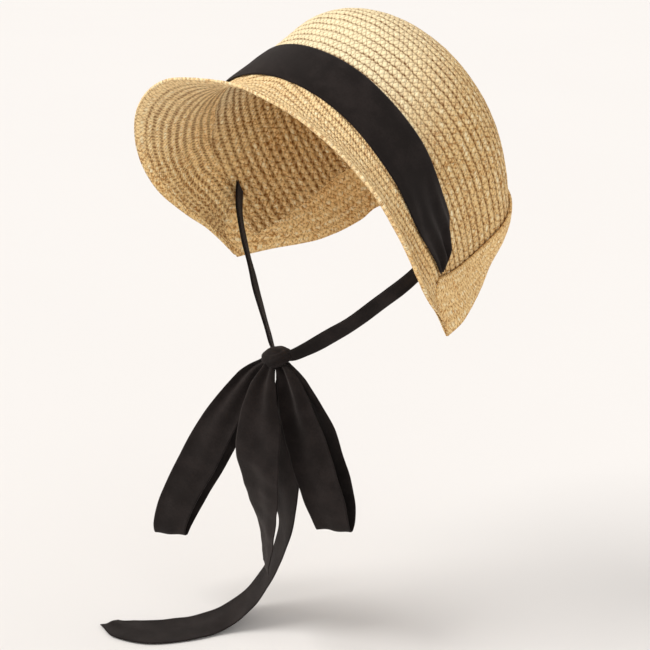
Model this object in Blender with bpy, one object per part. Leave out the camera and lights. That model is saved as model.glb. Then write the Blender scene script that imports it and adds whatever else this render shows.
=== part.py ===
"""Poke bonnet: a straw dome with a flaring front brim, a nape strip, a ribbon band and a ribbon bow.

Metres, +Z up. The face looks along -Y and the wearer's left is +X. The origin is the highest point
of the crown's inner face, where a head carries the bonnet.

The straw is laid out in the hat's own frame, whose axis runs back and up through the dome:
side (to the wearer's left), rise (square to the axis, upwards) and back (along the axis).
Its zero is the middle of the brim's front edge.
"""

from math import acos, cos, hypot, pi, radians, sin

import bmesh
import bpy
from mathutils import Vector

# Materials' thicknesses and gaps
STRAW = 0.002
RIBBON = 0.001
GAP = 0.0003
JOINT_GAP = 0.0007
LAP_GAP = 0.0007
EAR_GAP = 0.0009
TIE_GAP = 0.0012

# The hat's axis rises by this angle towards the back
TILT = radians(30)

# Crown: straight wall that opens a little to the front, then a dome
AXIS_DROP = 0.122
CROWN_HALF_WIDTH = 0.098
CROWN_RISE = 0.105
CROWN_FALL = 0.150
FRONT_HALF_WIDTH = 0.124
FRONT_RISE = 0.100
WALL_END = 0.100
DOME_LENGTH = 0.066
DOME_POWER = 2.15
CROWN_CUT = 0.188

# Brim: the free edge, then the seam where the band starts
BRIM_HALF_WIDTH = 0.140
BRIM_HEIGHT = 0.202
BRIM_BOW = 0.014
SEAM_BACK = 0.034
EAR_ANGLE = radians(104.5)
FLARE_START = 0.42

# Nape strip: upper edge lapped over the crown, free edge below
NAPE_LINE = 0.184
NAPE_HALF_WIDTH = 0.105
NAPE_DROP = 0.224
NAPE_BACK = 0.145

# Ribbon: one width, worn flat as the band and folded in three as the chin tie
RIBBON_WIDTH = 0.038
BAND_DEPTH = 0.041
BAND_JOINT = 0.3
TIE_FOLDS = 3
TIE_LIFT = radians(53)
TIE_START_ANGLE = radians(99)
TIE_START_BACK = 0.036

# Bow: the knot's place below the inner crown top, and the lengths that hang from it
KNOT_FORWARD = 0.066
KNOT_DROP = 0.247
KNOT_HALF = Vector((0.0112, 0.0092, 0.0085))
RIGHT_LOOP_DROP = 0.165
RIGHT_LOOP_SPREAD = 0.080
RIGHT_LOOP_FORWARD = 0.025
LEFT_LOOP_DROP = 0.118
LEFT_LOOP_SPREAD = 0.062
LEFT_LOOP_FORWARD = -0.010
LOOP_BELLY = 0.008
LOOP_HEADING = 15
LOOP_LIFT = radians(12)
SHORT_TAIL_DROP = 0.162
SHORT_TAIL_SWAY = 0.017
SHORT_TAIL_FORWARD = 0.029
LONG_TAIL_DROP = 0.223
LONG_TAIL_SPREAD = 0.082
LONG_TAIL_FORWARD = 0.080

# A point in front of the face on the hat's axis: every straw wall is thickened towards it
FACE_SIDE = Vector((0, -AXIS_DROP, -0.3))

# Steps of the meshes
AROUND = 64
BRIM_STEPS = 56
NAPE_STEPS = 44
BAND_STEPS = 48
DOME_STEPS = 9
WALL_STEPS = 4

# Free edge of the brim from the middle to the ear tip, as shares of
# side: half width, drop: height, back: bow of the edge out of its plane
BRIM_EDGE = [
    (0.000, 0.000, 0.00),
    (0.257, 0.005, -0.25),
    (0.500, 0.037, -0.50),
    (0.736, 0.134, -0.64),
    (0.914, 0.272, -0.82),
    (1.000, 0.440, -1.00),
    (1.000, 0.604, -0.86),
    (0.936, 0.742, -0.29),
    (0.864, 0.861, 0.43),
    (0.807, 1.000, 0.96),
]

# Seam: share of the ear angle, back as a share of the seam's place at the top
SEAM = [(0.0, 1.00), (0.3, 0.93), (0.6, 0.68), (0.8, 0.50), (1.0, 0.79)]

# Band: share of the ear angle, depth along the axis as a share of the band's depth
BAND = [
    (0.000, 0.84),
    (0.350, 0.90),
    (0.600, 1.00),
    (0.750, 1.00),
    (0.880, 0.86),
    (0.950, 0.48),
    (0.985, 0.13),
]

# Free edge of the nape strip behind the ear tip: place along the strip's half from ear to middle,
# side, drop and back as shares of the nape's half width, drop and back
NAPE_EDGE = [
    (0.1, 1.000, 0.938, 0.25),
    (0.3, 0.810, 0.991, 0.50),
    (0.5, 0.667, 1.000, 0.71),
    (0.6, 0.590, 0.982, 0.83),
    (0.8, 0.333, 0.964, 0.965),
    (1.0, 0.000, 0.960, 1.00),
]
NAPE_TURN = 0.5
NAPE_EASE = 2.2
NAPE_HUG = 0.5
EAR_BLEND = 0.12

# Chin tie from the crown's inside to the knot: side, back and up from the knot, as shares of the
# way from the knot to the tie's start, and the share of the folded width
TIE = [
    (0.90, 0.84, 0.82, 1.0),
    (0.72, 0.66, 0.60, 1.0),
    (0.50, 0.47, 0.37, 1.0),
    (0.28, 0.28, 0.17, 1.0),
    (0.12, 0.12, 0.04, 0.8),
    (0.03, 0.03, 0.01, 0.6),
]

# Loops of the bow: drop, spread and forward as shares of the loop's own sizes,
# belly: share of the belly between the two layers, width: share of the ribbon
LOOP = [
    (0.02, 0.08, 0.03, 0.30, 0.26),
    (0.11, 0.26, 0.12, 0.50, 0.50),
    (0.36, 0.50, 0.48, 1.00, 0.86),
    (0.60, 0.71, 0.70, 1.00, 0.96),
    (0.80, 0.89, 0.88, 0.90, 0.92),
    (0.94, 0.98, 0.98, 0.55, 0.82),
    (1.00, 1.00, 1.00, 0.00, 0.78),
]

# Tails: side and forward as shares of the sway or spread, drop, width, heading in degrees
SHORT_TAIL = [
    (0.00, 0.21, 0.03, 0.25, 10),
    (0.53, 0.71, 0.12, 0.56, 18),
    (1.00, 1.00, 0.27, 0.90, 18),
    (1.00, 1.00, 0.43, 0.98, 12),
    (1.00, 0.76, 0.62, 0.90, -2),
    (0.88, 0.46, 0.83, 0.78, -24),
    (0.70, 0.31, 1.00, 0.70, -34),
]
LONG_TAIL = [
    (0.02, -0.06, 0.02, 0.27, 5),
    (-0.05, -0.20, 0.13, 0.60, 6),
    (-0.13, -0.30, 0.34, 0.95, 6),
    (-0.11, -0.30, 0.50, 1.00, -8),
    (-0.05, -0.29, 0.65, 1.00, -30),
    (-0.13, -0.24, 0.79, 1.00, -38),
    (-0.24, -0.12, 0.91, 1.00, -38),
    (-0.35, 0.14, 0.985, 1.00, -36),
    (-0.43, 0.50, 1.000, 1.00, -38),
    (-0.58, 0.83, 1.000, 1.00, -46),
    (-0.79, 1.01, 1.000, 0.82, -56),
    (-0.96, 1.05, 1.000, 0.45, -60),
]


def remove_all():
    """Start from an empty scene."""
    for obj in list(bpy.data.objects):
        bpy.data.objects.remove(obj)


def material(name, colour, roughness):
    """A plain matte material."""
    made = bpy.data.materials.new(name)
    made.use_nodes = True
    shader = made.node_tree.nodes["Principled BSDF"]
    shader.inputs["Base Color"].default_value = (*colour, 1.0)
    shader.inputs["Roughness"].default_value = roughness
    shader.inputs["Metallic"].default_value = 0.0
    return made


def hermite(before, start, end, after, share):
    """One value of a Catmull-Rom curve between start and end."""
    slope_in = (end - before) / 2
    slope_out = (after - start) / 2
    step = end - start
    square = share * share
    cube = square * share
    return start + slope_in * share + (3 * step - 2 * slope_in - slope_out) * square \
        + (slope_in + slope_out - 2 * step) * cube


def read(rows, place, column):
    """Smooth reading of a table's column at a place given by its first column."""
    last = len(rows) - 1
    index = 0
    while index < last - 1 and place > rows[index + 1][0]:
        index += 1
    left = rows[index]
    right = rows[index + 1]
    share = (place - left[0]) / (right[0] - left[0])
    before = rows[max(index - 1, 0)]
    after = rows[min(index + 2, last)]
    return hermite(before[column], left[column], right[column], after[column], share)


def through(points, count):
    """Points at even distances on the smooth curve through the given ones."""
    fine = []
    last = len(points) - 1
    for index in range(last):
        before = points[max(index - 1, 0)]
        after = points[min(index + 2, last)]
        for step in range(20):
            fine.append(hermite(before, points[index], points[index + 1], after, step / 20))
    fine.append(points[last])
    reach = [0.0]
    for first, second in zip(fine, fine[1:]):
        reach.append(reach[-1] + (second - first).length)
    even = []
    index = 0
    for step in range(count):
        goal = reach[-1] * step / (count - 1)
        while index < len(fine) - 2 and reach[index + 1] < goal:
            index += 1
        share = (goal - reach[index]) / (reach[index + 1] - reach[index])
        even.append(fine[index].lerp(fine[index + 1], share))
    return even


def crown_sizes(back):
    """Half width, rise and fall of the crown's outer section at a place along the axis."""
    if back >= WALL_END:
        reach = min((back - WALL_END) / DOME_LENGTH, 1.0)
        dome = (1 - reach ** DOME_POWER) ** (1 / DOME_POWER)
        return CROWN_HALF_WIDTH * dome, CROWN_RISE * dome, CROWN_FALL * dome
    open_share = ((WALL_END - back) / WALL_END) ** 2
    half = CROWN_HALF_WIDTH + (FRONT_HALF_WIDTH - CROWN_HALF_WIDTH) * open_share
    rise = CROWN_RISE + (FRONT_RISE - CROWN_RISE) * open_share
    return half, rise, CROWN_FALL


def crown_bare(angle, back):
    """Point of the crown's outer face in the hat's frame, angle measured from the top."""
    half, rise, fall = crown_sizes(back)
    height = rise if cos(angle) > 0 else fall
    return Vector((half * sin(angle), height * cos(angle) - AXIS_DROP, back))


def crown_point(angle, back, lift=0.0):
    """Point at a distance outside the crown's outer face, or inside it if the lift is negative."""
    step = 0.0005
    point = crown_bare(angle, back)
    along = crown_bare(angle, back + step) - crown_bare(angle, back - step)
    round_it = crown_bare(angle + step, back) - crown_bare(angle - step, back)
    normal = round_it.cross(along).normalized()
    if normal.dot(point + Vector((0, AXIS_DROP, -WALL_END))) < 0:
        normal.negate()
    return point + normal * lift


def seam_back(share):
    """Place of the seam along the axis at a share of the ear angle."""
    return SEAM_BACK * read(SEAM, abs(share), 1)


def band_depth(share):
    """Depth of the band along the axis at a share of the ear angle."""
    return BAND_DEPTH * read(BAND, abs(share), 1)


def joint_back(share):
    """Place where the crown's edge meets the brim's, hidden under the band."""
    return seam_back(share) + BAND_JOINT * band_depth(min(abs(share), BAND[-1][0]))


def seat():
    """Highest point of the crown's inner face in the hat's frame, turned upright."""
    best = None
    for step in range(201):
        back = WALL_END + DOME_LENGTH * 0.8 * step / 200
        point = upright(crown_point(0.0, back, -STRAW))
        if best is None or point.z > best.z:
            best = point
    return best


def upright(point):
    """A point of the hat's frame turned to +Z up."""
    side, rise, back = point
    return Vector((side, back * cos(TILT) - rise * sin(TILT), back * sin(TILT) + rise * cos(TILT)))


def grid(rows, closed=False):
    """Mesh of quads through rows of points."""
    mesh = bmesh.new()
    made = [[mesh.verts.new(point) for point in row] for row in rows]
    for first, second in zip(made, made[1:]):
        count = len(first)
        for index in range(count if closed else count - 1):
            after = (index + 1) % count
            mesh.faces.new((first[index], first[after], second[after], second[index]))
    return mesh


def finish(name, mesh, look, thickness=0.0, before=None):
    """Turn a mesh into a named object, and give an open one its wall on the side of a point before it."""
    bmesh.ops.recalc_face_normals(mesh, faces=mesh.faces)
    if before is not None:
        face = max(mesh.faces, key=lambda item: (item.calc_center_median() - before).length)
        if face.normal.dot(face.calc_center_median() - before) < 0:
            bmesh.ops.reverse_faces(mesh, faces=mesh.faces)
    data = bpy.data.meshes.new(name)
    mesh.to_mesh(data)
    mesh.free()
    data.shade_smooth()
    data.set_sharp_from_angle(angle=radians(40))
    data.materials.append(look)
    obj = bpy.data.objects.new(name, data)
    bpy.context.scene.collection.objects.link(obj)
    if thickness:
        wall = obj.modifiers.new("wall", "SOLIDIFY")
        wall.thickness = thickness
        wall.offset = -1.0
        wall.use_even_offset = True
    return obj


def make_crown(place, look):
    """Straw dome, cut along a plane under the nape line."""
    rows = []
    for step in range(WALL_STEPS):
        row = []
        for index in range(AROUND):
            angle = 2 * pi * index / AROUND - pi
            share = min(abs(angle) / EAR_ANGLE, 1.0)
            front = joint_back(share) + JOINT_GAP
            row.append(crown_bare(angle, front + (WALL_END - front) * step / WALL_STEPS))
        rows.append(row)
    for step in range(DOME_STEPS):
        turn = pi / 2 * step / DOME_STEPS
        back = WALL_END + DOME_LENGTH * sin(turn) ** (2 / DOME_POWER)
        rows.append([crown_bare(2 * pi * index / AROUND - pi, back) for index in range(AROUND)])
    mesh = grid(rows, closed=True)
    mesh.verts.ensure_lookup_table()
    last = mesh.verts[-AROUND:]
    pole = mesh.verts.new(Vector((0, -AXIS_DROP, WALL_END + DOME_LENGTH)))
    for index in range(AROUND):
        mesh.faces.new((last[index], last[(index + 1) % AROUND], pole))
    bmesh.ops.bisect_plane(
        mesh,
        geom=mesh.verts[:] + mesh.edges[:] + mesh.faces[:],
        plane_co=(0, -CROWN_CUT, 0),
        plane_no=(0, -1, 0),
        clear_outer=True,
    )
    for vert in mesh.verts:
        vert.co = place(vert.co)
    return finish("crown", mesh, look, STRAW, place(FACE_SIDE))


def brim_edge():
    """Free edge of the brim from the right ear tip over the top to the left one."""
    half = [Vector((side * BRIM_HALF_WIDTH, -drop * BRIM_HEIGHT, back * BRIM_BOW))
            for side, drop, back in BRIM_EDGE]
    mirrored = [Vector((-point.x, point.y, point.z)) for point in reversed(half[1:])]
    return through(mirrored + half, BRIM_STEPS + 1)


def brim_bend(share, edge):
    """Seam point of the brim and the point that its cross-section bends towards."""
    angle = share * EAR_ANGLE
    seam = crown_bare(angle, seam_back(share))
    ahead = (crown_bare(angle, seam_back(share) - 0.001) - seam).normalized()
    return seam, seam + ahead * (edge - seam).length * FLARE_START


def make_brim(place, look):
    """Front ring of braid: follows the crown under the band, then flares to its free edge."""
    columns = []
    for index, edge in enumerate(brim_edge()):
        share = 2 * index / BRIM_STEPS - 1
        seam, bend = brim_bend(share, edge)
        column = [crown_bare(share * EAR_ANGLE, joint_back(share))]
        for step in range(5):
            way = step / 4
            column.append(seam * (1 - way) ** 2 + bend * 2 * way * (1 - way) + edge * way ** 2)
        columns.append([place(point) for point in column])
    return finish("brim", grid(columns), look, STRAW, place(FACE_SIDE))


def nape_point(around, drop):
    """Point on the crown at a drop below the brim: around is 0 at the ear and 1 at the middle."""
    fall = (drop - AXIS_DROP) / CROWN_FALL
    if around <= NAPE_TURN:
        front = SEAM_BACK * SEAM[-1][1]
        return crown_point(acos(-fall), front + (WALL_END - front) * around / NAPE_TURN, STRAW + LAP_GAP)
    quarter = (around - NAPE_TURN) / (1 - NAPE_TURN) * pi / 2
    dome = hypot((1 - fall * fall) ** 0.5 * cos(quarter), fall)
    reach = max(1 - dome ** DOME_POWER, 0.0) ** (1 / DOME_POWER)
    return crown_point(acos(-fall / dome), WALL_END + DOME_LENGTH * reach, STRAW + LAP_GAP)


def nape_top_drop(around):
    """Drop of the strip's upper edge: it leaves the ear steeply and levels off at the nape line."""
    ear = -crown_bare(EAR_ANGLE, seam_back(1.0)).y
    return NAPE_LINE - (NAPE_LINE - ear) * (1 - min(around / NAPE_TURN, 1.0)) ** NAPE_EASE


def make_nape_strip(place, look):
    """Straw strip from ear tip to ear tip round the nape, lapped over the crown's lower edge."""
    tip = brim_edge()[-1]
    rows = [(0.0, tip.x / NAPE_HALF_WIDTH, -tip.y / NAPE_DROP, tip.z / NAPE_BACK)] + NAPE_EDGE
    start = EAR_GAP / NAPE_HALF_WIDTH
    columns = []
    for index in range(NAPE_STEPS + 1):
        share = 2 * index / NAPE_STEPS - 1
        side = -1 if share < 0 else 1
        around = start + (1 - start) * (1 - abs(share))
        free = Vector((
            side * read(rows, around, 1) * NAPE_HALF_WIDTH,
            -read(rows, around, 2) * NAPE_DROP,
            read(rows, around, 3) * NAPE_BACK,
        ))
        drop = nape_top_drop(around)
        top = nape_point(around, drop)
        below = nape_point(around, drop + 0.001)
        top.x *= side
        below.x *= side
        hug = top + (below - top).normalized() * (free - top).length * NAPE_HUG
        ear_bend = brim_bend(1.0, tip)[1]
        ear_bend.x *= side
        hug = ear_bend.lerp(hug, min(around / EAR_BLEND, 1.0))
        column = []
        for step in range(5):
            way = step / 4
            column.append(top * (1 - way) ** 2 + hug * 2 * way * (1 - way) + free * way ** 2)
        columns.append([place(point) for point in column])
    return finish("nape_strip", grid(columns), look, STRAW, place(FACE_SIDE))


def make_band(place, look):
    """Ribbon over the seam, running to a point above each ear."""
    columns = []
    for index in range(BAND_STEPS + 1):
        share = (2 * index / BAND_STEPS - 1) * BAND[-1][0]
        angle = share * EAR_ANGLE
        front = seam_back(share)
        column = []
        for step in range(5):
            column.append(crown_point(angle, front + band_depth(share) * step / 4, GAP + RIBBON))
        columns.append([place(point) for point in column])
    return finish("hat_band", grid(columns), look, RIBBON, place(FACE_SIDE))


def direction(heading, lift=0.0):
    """Unit vector from a heading in degrees and a lift in radians."""
    turn = radians(heading)
    return Vector((cos(turn) * cos(lift), sin(turn) * cos(lift), sin(lift)))


def strip(name, centres, sides, widths, thickness, look):
    """Closed flat strip along a line of centres, with its width along the given sides."""
    mesh = bmesh.new()
    rings = []
    last = len(centres) - 1
    for index, (centre, side, width) in enumerate(zip(centres, sides, widths)):
        ahead = centres[min(index + 1, last)] - centres[max(index - 1, 0)]
        face = ahead.cross(side).normalized() * thickness / 2
        half = side * width / 2
        corners = (half + face, face, face - half, -half - face, -face, half - face)
        rings.append([mesh.verts.new(centre + corner) for corner in corners])
    for first, second in zip(rings, rings[1:]):
        for index in range(6):
            after = (index + 1) % 6
            mesh.faces.new((first[index], first[after], second[after], second[index]))
    for ring in (rings[0], rings[-1]):
        mesh.faces.new((ring[0], ring[1], ring[4], ring[5]))
        mesh.faces.new((ring[1], ring[2], ring[3], ring[4]))
    return finish(name, mesh, look)


def table_strip(name, rows, thickness, count, look):
    """Strip from rows of centre, side and width, smoothed between them."""
    centres = through([row[0] for row in rows], count)
    last = len(rows) - 1
    reach = [0.0]
    for first, second in zip(rows, rows[1:]):
        reach.append(reach[-1] + (second[0] - first[0]).length)
    table = [(reach[index] / reach[-1], row[2], *row[1]) for index, row in enumerate(rows)]
    sides = []
    widths = []
    for index in range(count):
        place = index / (count - 1)
        widths.append(read(table, place, 1))
        sides.append(Vector([read(table, place, column) for column in (2, 3, 4)]).normalized())
    return strip(name, centres, sides, widths, thickness, look)


def knot_body(name, half, look):
    """Rounded knot, fuller than an ellipsoid."""
    mesh = bmesh.new()
    bmesh.ops.create_uvsphere(mesh, u_segments=20, v_segments=10, radius=1.0)
    for vert in mesh.verts:
        for axis in range(3):
            value = vert.co[axis]
            vert.co[axis] = half[axis] * abs(value) ** 0.85 * (1 if value > 0 else -1)
    return finish(name, mesh, look)


def cut_by(obj, cutter):
    """Cut a piece where it meets the knot, with the gap that the cutter holds."""
    cut = obj.modifiers.new("knot", "BOOLEAN")
    cut.operation = "DIFFERENCE"
    cut.solver = "EXACT"
    cut.object = cutter


def tie_rows(start, knot, side):
    """Stations of a chin tie from inside the ear to the knot."""
    folded = RIBBON_WIDTH / TIE_FOLDS
    width_way = direction(-90, TIE_LIFT)
    way = start - knot
    rows = [(Vector((side * start.x, start.y, start.z)), width_way, folded)]
    for across, back, up, width in TIE:
        centre = knot + Vector((side * way.x * across, way.y * back, way.z * up))
        rows.append((centre, width_way, folded * width))
    return rows


def loop_rows(knot, side, drop, spread, forward):
    """Stations of a bow loop: down the front layer, round the bottom and up the back layer."""
    level = direction(LOOP_HEADING)
    out = Vector((level.y, -level.x, 0))
    down = []
    up = []
    for fall, across, ahead, belly, width in LOOP:
        width_way = direction(LOOP_HEADING, LOOP_LIFT * fall)
        centre = knot + Vector((side * spread * across, -forward * ahead, -drop * fall))
        down.append((centre + out * LOOP_BELLY * belly, width_way, RIBBON_WIDTH * width))
        up.append((centre - out * LOOP_BELLY * belly, width_way, RIBBON_WIDTH * width))
    return down + up[-2::-1]


def tail_rows(table, knot, sway, forward, drop):
    """Stations of a free tail."""
    rows = []
    for across, ahead, fall, width, heading in table:
        centre = knot + Vector((sway * across, -forward * ahead, -drop * fall))
        rows.append((centre, direction(heading), RIBBON_WIDTH * width))
    return rows


def build():
    """All the pieces of the bonnet."""
    remove_all()
    straw_look = material("straw", (0.62, 0.47, 0.26), 0.75)
    ribbon_look = material("ribbon", (0.02, 0.015, 0.015), 0.9)
    origin = seat()

    def place(point):
        return upright(point) - origin

    make_crown(place, straw_look)
    make_brim(place, straw_look)
    make_nape_strip(place, straw_look)
    make_band(place, ribbon_look)

    knot = Vector((0, -KNOT_FORWARD, -KNOT_DROP))
    knot_body("knot", KNOT_HALF, ribbon_look).location = knot
    cutter = knot_body("knot_clearance", KNOT_HALF + Vector((GAP, GAP, GAP)), ribbon_look)
    cutter.location = knot
    cutter.hide_render = True
    cutter.display_type = "WIRE"

    tie_thickness = RIBBON * TIE_FOLDS
    inside = -(STRAW + TIE_GAP + tie_thickness / 2)
    start = place(crown_point(TIE_START_ANGLE, TIE_START_BACK, inside))
    pieces = [
        table_strip("chin_tie_left", tie_rows(start, knot, 1), tie_thickness, 22, ribbon_look),
        table_strip("chin_tie_right", tie_rows(start, knot, -1), tie_thickness, 22, ribbon_look),
        table_strip("bow_loop_left", loop_rows(
            knot, 1, LEFT_LOOP_DROP, LEFT_LOOP_SPREAD, LEFT_LOOP_FORWARD), RIBBON, 44, ribbon_look),
        table_strip("bow_loop_right", loop_rows(
            knot, -1, RIGHT_LOOP_DROP, RIGHT_LOOP_SPREAD, RIGHT_LOOP_FORWARD), RIBBON, 52, ribbon_look),
        table_strip("tail_short", tail_rows(
            SHORT_TAIL, knot, SHORT_TAIL_SWAY, SHORT_TAIL_FORWARD, SHORT_TAIL_DROP), RIBBON, 26, ribbon_look),
        table_strip("tail_long", tail_rows(
            LONG_TAIL, knot, LONG_TAIL_SPREAD, LONG_TAIL_FORWARD, LONG_TAIL_DROP), RIBBON, 44, ribbon_look),
    ]
    for piece in pieces:
        cut_by(piece, cutter)


build()
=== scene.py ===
"""Poke bonnet: sewn straw braid, a gathered ribbon band and a ribbon bow, on a pale floor."""

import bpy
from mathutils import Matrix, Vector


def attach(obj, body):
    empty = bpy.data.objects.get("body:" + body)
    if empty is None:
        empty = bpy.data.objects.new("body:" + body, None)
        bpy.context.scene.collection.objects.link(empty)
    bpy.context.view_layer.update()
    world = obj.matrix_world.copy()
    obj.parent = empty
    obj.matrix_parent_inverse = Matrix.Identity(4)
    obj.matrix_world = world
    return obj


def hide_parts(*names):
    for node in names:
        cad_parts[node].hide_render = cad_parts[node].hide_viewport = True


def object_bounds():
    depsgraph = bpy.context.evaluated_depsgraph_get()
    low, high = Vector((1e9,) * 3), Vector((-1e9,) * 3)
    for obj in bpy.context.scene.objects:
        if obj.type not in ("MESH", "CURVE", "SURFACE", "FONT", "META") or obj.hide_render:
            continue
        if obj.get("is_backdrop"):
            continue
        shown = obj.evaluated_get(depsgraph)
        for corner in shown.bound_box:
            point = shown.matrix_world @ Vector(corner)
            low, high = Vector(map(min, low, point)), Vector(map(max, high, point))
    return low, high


bl_info = {
    "name": "Poke Bonnet",
    "version": (1, 0, 0),
    "blender": (4, 5, 0),
    "location": "View3D > Sidebar > Bonnet",
    "description": "Dresses the solids of a straw poke bonnet with braid, ribbon and a stage",
    "category": "Object",
}

from math import acos, cos, hypot, pi, radians, sin

import bmesh
import bpy
from bpy.props import FloatProperty, FloatVectorProperty, IntProperty, PointerProperty
from mathutils import Matrix, Vector, noise

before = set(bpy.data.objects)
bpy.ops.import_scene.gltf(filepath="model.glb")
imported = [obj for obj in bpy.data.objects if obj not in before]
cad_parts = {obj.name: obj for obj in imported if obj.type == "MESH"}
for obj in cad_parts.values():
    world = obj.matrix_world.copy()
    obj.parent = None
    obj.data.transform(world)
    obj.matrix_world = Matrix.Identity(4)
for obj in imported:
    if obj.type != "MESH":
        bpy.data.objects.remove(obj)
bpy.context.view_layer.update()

# Shape of the straw, as in the solids: metres in the hat's own frame of side, rise and back
TILT = radians(30)
STRAW = 0.002
JOINT_LAP = 0.0012
LAP_GAP = 0.0007
EAR_OVERLAP = 0.0008
AXIS_DROP = 0.122
CROWN_HALF_WIDTH = 0.098
CROWN_RISE = 0.105
CROWN_FALL = 0.150
FRONT_HALF_WIDTH = 0.124
FRONT_RISE = 0.100
WALL_END = 0.100
DOME_LENGTH = 0.066
DOME_POWER = 2.15
CROWN_CUT = 0.188
BRIM_HALF_WIDTH = 0.140
BRIM_HEIGHT = 0.202
BRIM_BOW = 0.014
SEAM_BACK = 0.034
EAR_ANGLE = radians(104.5)
FLARE_START = 0.42
NAPE_LINE = 0.184
NAPE_HALF_WIDTH = 0.105
NAPE_DROP = 0.224
NAPE_BACK = 0.145
NAPE_TURN = 0.5
NAPE_EASE = 2.2
NAPE_HUG = 0.5
EAR_BLEND = 0.12
BAND_DEPTH = 0.041
BAND_JOINT = 0.3
TIE_GAP = 0.0012
TIE_START_ANGLE = radians(99)
TIE_START_BACK = 0.036
TIE_LIFT = radians(53)
KNOT = Vector((0, -0.066, -0.247))
KNOT_HALF = Vector((0.0112, 0.0092, 0.0085))
LOOP_HEADING = 15
LOOP_LIFT = radians(12)
LOOP_BELLY = 0.008
FACE_SIDE = Vector((0, -AXIS_DROP, -0.3))

# Free edge of the brim from the middle to the ear tip, as shares of half width, height and bow
BRIM_EDGE = [
    (0.000, 0.000, 0.00),
    (0.257, 0.005, -0.25),
    (0.500, 0.037, -0.50),
    (0.736, 0.134, -0.64),
    (0.914, 0.272, -0.82),
    (1.000, 0.440, -1.00),
    (1.000, 0.604, -0.86),
    (0.936, 0.742, -0.29),
    (0.864, 0.861, 0.43),
    (0.807, 1.000, 0.96),
]

# Share of the ear angle, then the seam's place and the band's depth as shares
SEAM = [(0.0, 1.00), (0.3, 0.93), (0.6, 0.68), (0.8, 0.50), (1.0, 0.79)]
BAND = [
    (0.000, 0.84),
    (0.350, 0.90),
    (0.600, 1.00),
    (0.750, 1.00),
    (0.880, 0.86),
    (0.950, 0.48),
    (0.985, 0.13),
]

# Free edge of the nape strip: place from ear to middle, then side, drop and back as shares
NAPE_EDGE = [
    (0.1, 1.000, 0.938, 0.25),
    (0.3, 0.810, 0.991, 0.50),
    (0.5, 0.667, 1.000, 0.71),
    (0.6, 0.590, 0.982, 0.83),
    (0.8, 0.333, 0.964, 0.965),
    (1.0, 0.000, 0.960, 1.00),
]

# Chin tie towards the knot: side, back and up as shares of the way, and share of the folded width
TIE = [
    (0.90, 0.84, 0.82, 1.0),
    (0.72, 0.66, 0.60, 1.0),
    (0.50, 0.47, 0.37, 1.0),
    (0.28, 0.28, 0.17, 1.0),
    (0.12, 0.12, 0.04, 0.8),
    (0.03, 0.03, 0.01, 0.6),
]

# Bow loops: drop, spread, forward, belly and width as shares
LOOP = [
    (0.02, 0.08, 0.03, 0.30, 0.26),
    (0.11, 0.26, 0.12, 0.50, 0.50),
    (0.36, 0.50, 0.48, 1.00, 0.86),
    (0.60, 0.71, 0.70, 1.00, 0.96),
    (0.80, 0.89, 0.88, 0.90, 0.92),
    (0.94, 0.98, 0.98, 0.55, 0.82),
    (1.00, 1.00, 1.00, 0.00, 0.78),
]

# Tails: side, forward, drop and width as shares, and heading in degrees
SHORT_TAIL = [
    (0.00, 0.21, 0.03, 0.25, 10),
    (0.53, 0.71, 0.12, 0.56, 18),
    (1.00, 1.00, 0.27, 0.90, 18),
    (1.00, 1.00, 0.43, 0.98, 12),
    (1.00, 0.76, 0.62, 0.90, -2),
    (0.88, 0.46, 0.83, 0.78, -24),
    (0.70, 0.31, 1.00, 0.70, -34),
]
LONG_TAIL = [
    (0.02, -0.06, 0.02, 0.27, 5),
    (-0.05, -0.20, 0.13, 0.60, 6),
    (-0.13, -0.30, 0.34, 0.95, 6),
    (-0.11, -0.30, 0.50, 1.00, -8),
    (-0.05, -0.29, 0.65, 1.00, -30),
    (-0.13, -0.24, 0.79, 1.00, -38),
    (-0.24, -0.12, 0.91, 1.00, -38),
    (-0.35, 0.14, 0.985, 1.00, -36),
    (-0.43, 0.50, 1.000, 1.00, -38),
    (-0.58, 0.83, 1.000, 1.00, -46),
    (-0.79, 1.01, 1.000, 0.82, -56),
    (-0.96, 1.05, 1.000, 0.45, -60),
]

# Samples across one row of braid, close together at the grooves, and steps of a bent cross-section
ROW_STEPS = (0.0, 0.10, 0.30, 0.52, 0.74, 0.91)
BEND_STEPS = 24

# Unevenness of the straw: height and size of fine and broad bumps, and how far rows stray
FINE_BUMPS = (0.00018, 0.0045)
BROAD_BUMPS = (0.0004, 0.04)
ROW_SWAY = 0.0007

# Length before the crown's back centre over which its rows stop straying
SWAY_FADE = 0.010

# Thread spacing of the ribbon's weave
THREAD = 0.00075

# Straw looks: painted shade scale (lower on the crown, painted shade for its shaded side), plait along the
# row, depth of the weave, strength of the painted groove shade, strength of the painted light on the top of
# the front
CROWN_LOOK = (0.88, 0.0046, 0.0012, 1.0, 0.85)
BRIM_LOOK = (1.0, 0.0046, 0.0011, 0.85, 0.25)
NAPE_LOOK = (0.98, 0.0042, 0.0008, 0.7, 0.0)

# Bow loops: drop, spread and forward reach
LEFT_LOOP = (0.118, 0.062, -0.010)
RIGHT_LOOP = (0.165, 0.080, 0.025)

# Tails: sway, forward reach and drop, and how far the long one's end is cut aslant
SHORT_TAIL_REACH = (0.017, 0.029, 0.162)
LONG_TAIL_REACH = (0.082, 0.080, 0.223)
LONG_TAIL_SLANT = 0.010

# Stage: what the camera looks at, its place and lens, and the strength of the surroundings
CAMERA_TARGET = Vector((0, -0.0186, -0.2314))
CAMERA_DISTANCE = 1.41
CAMERA_AZIMUTH = radians(45)
CAMERA_ELEVATION = radians(18.5)
CAMERA_ROLL = radians(4.0)
CAMERA_LENS = 105.2
AMBIENT = 0.74
BACKDROP = 0.96


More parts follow.
